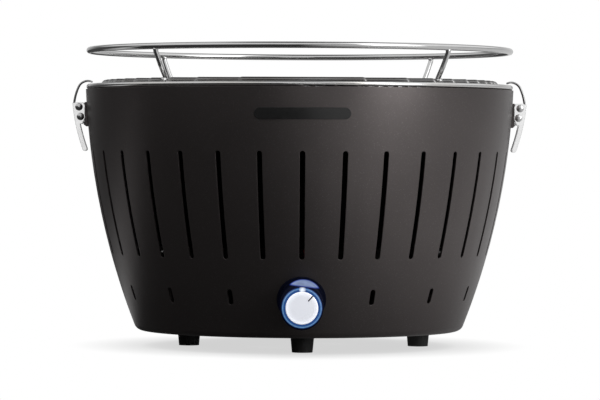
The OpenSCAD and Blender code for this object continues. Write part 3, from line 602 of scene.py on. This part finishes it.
MATERIALS = {
    "powder_coat": powder_coat(),
    "badge": gloss_badge(),
    "rubber": rubber(),
    "fasteners": plated_fastener(),
    "bowl_steel": bowl_steel(),
    "inner_steel": spun_steel("inner_steel", 0.48, 0.30),
    "wire_chrome": polished_wire(),
    "latch_steel": cast_latch(),
    "collar_plastic": collar_gloss(),
    "clear_blue": clear_blue(),
    "knob_silver": satin_face(),
    "dark_metal": spun_steel("dark_metal", 0.30, 0.32),
    "black_plastic": moulded_plastic(),
    "cell_wrap": printed_sleeve(),
    "contact_metal": contact_metal(),
    "motor_metal": spun_steel("motor_metal", 0.55, 0.25),
    "wire_sleeve": wire_sleeve(),
}
GRATE_STEEL = cooking_wire()
BAIL_WIRE = polished_wire("bail_wire", 0.42, 0.16)


def dress_cad_nodes():
    """Every CAD node that stays in view gets its slot's material."""
    slots = {part["node"]: part["material_slot"] for part in frame["record"]["subparts"]}
    for node, obj in frame["nodes"].items():
        obj.data.materials.clear()
        obj.data.materials.append(MATERIALS[slots[node]])


def soften_edges(node, width, angle=30):
    """Small real roundings on a CAD node's edges, by modifiers only."""
    obj = frame["nodes"][node]
    weld = obj.modifiers.new("weld", "WELD")
    weld.merge_threshold = 0.000002
    flat = obj.modifiers.new("flat", "DECIMATE")
    flat.decimate_type = "DISSOLVE"
    flat.angle_limit = math.radians(0.5)
    edge = obj.modifiers.new("edge", "BEVEL")
    edge.width = width
    edge.segments = 3
    edge.limit_method = "ANGLE"
    edge.angle_limit = math.radians(angle)
    edge.harden_normals = False
    obj.modifiers.new("normals", "WEIGHTED_NORMAL")


# ------------------------------------------------------------------ studio

# Brightness of the surroundings by compass angle (0 in front, 90 at the right) and by height of the direction
AZIMUTH_LIGHT = [(-180, 0.7), (-165, 0.5), (-145, 0.14), (-120, 0.06), (-60, 0.06), (30, 0.01), (43, 4.8), (57, 4.8),
                 (72, 0.55), (100, 0.4), (125, 0.42), (150, 0.6), (180, 0.7)]
RISE_LIGHT = [(-1, 0.5), (-0.1, 0.95), (0.2, 1.0), (0.45, 0.5), (1, 0.1)]
CARD_AZIMUTH = [(-180, 0), (-9, 0), (-7, 1), (9, 1), (11, 0), (180, 0)]
CARD_RISE = [(-1, 0), (-0.04, 0), (-0.02, 1.0), (0.14, 1.0), (0.18, 0), (1, 0)]
SKY_AZIMUTH = [(-180, 0), (-155, 0), (-135, 1), (135, 1), (155, 0), (180, 0)]
SKY_RISE = [(-1, 0), (0.22, 0), (0.36, 0.75), (0.9, 0.75), (0.97, 0.05), (1, 0.05)]


def studio():
    """White to the camera. Reflections see a wide soft panel at the right, a small card in front and dark elsewhere."""
    world = bpy.data.worlds.new("studio")
    bpy.context.scene.world = world
    world.use_nodes = True
    tree = world.node_tree
    tree.nodes.clear()

    def node(kind, **values):
        made = tree.nodes.new(kind)
        for key, value in values.items():
            setattr(made, key, value)
        return made

    def calc(operation, a, b=0.0):
        made = node("ShaderNodeMath", operation=operation)
        for socket, value in zip(made.inputs, (a, b)):
            if isinstance(value, bpy.types.NodeSocket):
                tree.links.new(value, socket)
            else:
                socket.default_value = value
        return made.outputs[0]

    def steps(value, low, high, stops):
        """A curve through (input, output) stops, as a grey colour ramp between low and high."""
        place = node("ShaderNodeMapRange")
        place.inputs["From Min"].default_value = low
        place.inputs["From Max"].default_value = high
        tree.links.new(value, place.inputs["Value"])
        ramp = node("ShaderNodeValToRGB")
        tree.links.new(place.outputs["Result"], ramp.inputs[0])
        elements = ramp.color_ramp.elements
        while len(elements) < len(stops):
            elements.new(0.5)
        for element, (at, out) in zip(elements, stops):
            element.position = (at - low) / (high - low)
            element.color = (out, out, out, 1)
        return ramp.outputs["Color"]

    coords = node("ShaderNodeTexCoord")
    split = node("ShaderNodeSeparateXYZ")
    tree.links.new(coords.outputs["Generated"], split.inputs[0])
    east, north, rise = split.outputs
    turn = calc("MULTIPLY", calc("ARCTAN2", east, calc("MULTIPLY", north, -1.0)), 180 / math.pi)
    around = steps(turn, -180, 180, AZIMUTH_LIGHT)
    upward = steps(rise, -1, 1, RISE_LIGHT)
    card = calc("MULTIPLY", steps(turn, -180, 180, CARD_AZIMUTH), steps(rise, -1, 1, CARD_RISE))
    sky = calc("MULTIPLY", steps(turn, -180, 180, SKY_AZIMUTH), steps(rise, -1, 1, SKY_RISE))
    panels = calc("ADD", calc("ADD", calc("MULTIPLY", around, upward), card), sky)
    light = node("ShaderNodeBackground")
    tree.links.new(panels, light.inputs["Color"])
    backdrop = node("ShaderNodeBackground")
    backdrop.inputs["Color"].default_value = (1, 1, 1, 1)
    path = node("ShaderNodeLightPath")
    mix = node("ShaderNodeMixShader")
    tree.links.new(path.outputs["Is Camera Ray"], mix.inputs[0])
    tree.links.new(light.outputs[0], mix.inputs[1])
    tree.links.new(backdrop.outputs[0], mix.inputs[2])
    out = node("ShaderNodeOutputWorld")
    tree.links.new(mix.outputs[0], out.inputs["Surface"])


def area_light(name, place, target, size, watts, colour=(1, 1, 1)):
    data = bpy.data.lights.new(name, "AREA")
    data.shape = "RECTANGLE"
    data.size, data.size_y = size
    data.energy = watts
    data.color = colour
    obj = bpy.data.objects.new(name, data)
    bpy.context.scene.collection.objects.link(obj)
    obj.location = place
    obj.rotation_mode = "QUATERNION"
    obj.rotation_quaternion = (Vector(target) - Vector(place)).to_track_quat("-Z", "Y")
    return obj


def floor():
    """A pale table: white to the camera with a soft contact shadow, lit from the right in the object's reflections."""
    verts = [Vector((x, y, 0)) for x, y in ((-6, -6), (6, -6), (6, 6), (-6, 6))]
    obj = mesh_object("floor", verts, [(0, 1, 2, 3)], smooth=False)
    s = Shader("pale_floor")
    shade = s.node("ShaderNodeAmbientOcclusion", samples=16)
    shade.inputs["Distance"].default_value = 0.06
    seen = s.node("ShaderNodeEmission")
    s.link(s.remap(shade.outputs["AO"], 0.0, 0.95, 0.62, 1.0), seen.inputs["Color"])
    split = s.node("ShaderNodeSeparateXYZ")
    s.link(s.position, split.inputs[0])
    mirrored = s.node("ShaderNodeEmission")
    right = s.remap(split.outputs["X"], -0.01, 0.35, 0.035, 0.62)
    behind = s.math("MULTIPLY", s.remap(split.outputs["Y"], 0.02, 0.16, 0.0, 0.5),
                    s.remap(split.outputs["Y"], 0.2, 0.5, 1.0, 0.12))
    ahead = s.remap(split.outputs["Y"], -0.8, -2.0, 0.0, 0.06)
    s.link(s.math("ADD", s.math("MAXIMUM", right, behind), ahead), mirrored.inputs["Color"])
    path = s.node("ShaderNodeLightPath")
    mix = s.node("ShaderNodeMixShader")
    s.link(path.outputs["Is Camera Ray"], mix.inputs[0])
    s.link(mirrored.outputs[0], mix.inputs[1])
    s.link(seen.outputs[0], mix.inputs[2])
    s.link(mix.outputs[0], s.tree.nodes["Material Output"].inputs["Surface"])
    obj.data.materials.append(s.material)


def camera():
    """Almost level with the upper body and a little to the left of the front."""
    data = bpy.data.cameras.new("camera")
    data.sensor_width = 36
    data.lens = 200.6
    data.clip_start, data.clip_end = 0.1, 20
    obj = bpy.data.objects.new("camera", data)
    bpy.context.scene.collection.objects.link(obj)
    place = Vector((-0.038, -2.749, 0.159))
    target = Vector((0.0006, 0, 0.1197))
    obj.location = place
    obj.rotation_mode = "QUATERNION"
    roll = Quaternion((0, 0, 1), math.radians(0.22))
    obj.rotation_quaternion = (target - place).to_track_quat("-Z", "Y") @ roll
    bpy.context.scene.camera = obj


# ------------------------------------------------------------------ grate and guard ring


def grate_rods():
    """Straight rods whose ends turn down onto the outer wire."""
    pitch = 15.5 * MM
    side_count = round((GRATE_HIGH.y - GRATE_WIRE_R) / pitch)
    parts = []
    for i in range(-side_count, side_count + 1):
        y = i * pitch
        end_x = math.sqrt(RING_R ** 2 - y ** 2) - GRATE_WIRE_R
        corners = [Vector((-end_x, y, RING_Z)), Vector((-end_x, y, ROD_Z)),
                   Vector((end_x, y, ROD_Z)), Vector((end_x, y, RING_Z))]
        parts.append(sweep(bend(corners, 3.6 * MM, 7), GRATE_WIRE_R))
    add_piece("grate_rods_bent", merge(parts), GRATE_STEEL, "grate", "wire_chrome", "grate_rods")


def guard_legs():
    """Leaning legs, bent at the toe and again where they are welded to the ring."""
    parts = []
    toe_z = RING_HIGH.z + GRATE_WIRE_R
    for quarter in ((1, 1), (-1, 1), (-1, -1), (1, -1)):
        a = math.radians(48.2)
        out = Vector((quarter[0] * math.cos(a), quarter[1] * math.sin(a), 0))
        top = out * (GUARD_R - GUARD_WIRE_R * 0.2) + UP * (GUARD_LOW.z + GUARD_WIRE_R * 0.4)
        corners = [out * (RING_R + 1.5 * MM) + UP * toe_z, out * 159.4 * MM + UP * toe_z,
                   out * (RING_R + 3.4 * MM) + UP * (GUARD_Z - 14.6 * MM), top - UP * 2.5 * MM, top]
        path = bend(corners, 4 * MM, 7)
        radii = []
        for p in path:
            near = max(0.0, 1 - (p - top).length / (3 * MM))
            radii.append(GRATE_WIRE_R * (1 + 0.22 * near * near))
        parts.append(sweep(path, radii))
    add_piece("guard_ring_legs_bent", merge(parts), MATERIALS["wire_chrome"], "guard", "wire_chrome", "guard_ring_legs")


def arc_points(sign, centre, radius, start, end, step):
    """Points of an arc in side view, mirrored for the left side."""
    count = max(1, round((end - start) / step))
    angles = [math.radians(start + (end - start) * i / count) for i in range(count + 1)]
    return [Vector((sign * (centre[0] + radius * math.cos(a)), 0, centre[1] + radius * math.sin(a))) for a in angles]


def latch_bail(side):
    """One bent wire: an eye round the pin, a leg, the long curve over the rim, the hook, and back down."""
    sign = 1 if side == "right" else -1
    wire_r, half, eye_r = 0.8 * MM, 2.6 * MM, 2.15 * MM
    pin = Vector(joint(f"{side}_bail_swing")["pos_m"])
    long_arc, long_r, bend_angle = (141.4 * MM, 194.0 * MM), 44 * MM, 24
    hook_r = 8.4 * MM
    turn = math.radians(bend_angle)
    hook_arc = (long_arc[0] + (long_r - hook_r) * math.cos(turn), long_arc[1] + (long_r - hook_r) * math.sin(turn))
    arc = arc_points(sign, long_arc, long_r, 6, bend_angle, 3)
    arc += arc_points(sign, hook_arc, hook_r, bend_angle, 112, 8)[1:]
    along = (arc[0] - Vector((pin.x, 0, pin.z))).normalized()

    def leg(y):
        aside = Vector((0, y, 0))
        return [Vector((pin.x, y, pin.z)) + along * eye_r] + [p + aside for p in arc]

    one, two = leg(-half), leg(half)
    over = bend([one[-2], one[-1], two[-1], two[-2]], 1.4 * MM, 6)
    path = one[:-1] + over[1:-1] + two[:-1][::-1]
    parts = [sweep(path, wire_r)]
    for y in (-half, half):
        eye = [Vector((pin.x + eye_r * math.cos(t), y, pin.z + eye_r * math.sin(t)))
               for t in (2 * math.pi * k / 32 for k in range(32))]
        parts.append(sweep(eye, wire_r * 0.97, closed=True))
    add_piece(f"{side}_bail_wire", merge(parts), BAIL_WIRE, f"{side}_bail", "wire_chrome", f"{side}_latch_bail")


# ------------------------------------------------------------------ build

dress_cad_nodes()
# the ring and cross bars take the same toned-down wire, painted shade
for name in ("grate_ring", "grate_cross_bars"):
    frame["nodes"][name].data.materials[0] = GRATE_STEEL
grate_rods()
guard_legs()
for latch_side in ("left", "right"):
    latch_bail(latch_side)

studio()
floor()
camera()
area_light("overhead", (0.2, -0.2, 2.6), (0, 0, 0), (3.2, 3.2), 40).visible_glossy = False
bpy.context.scene.view_settings.view_transform = "Standard"
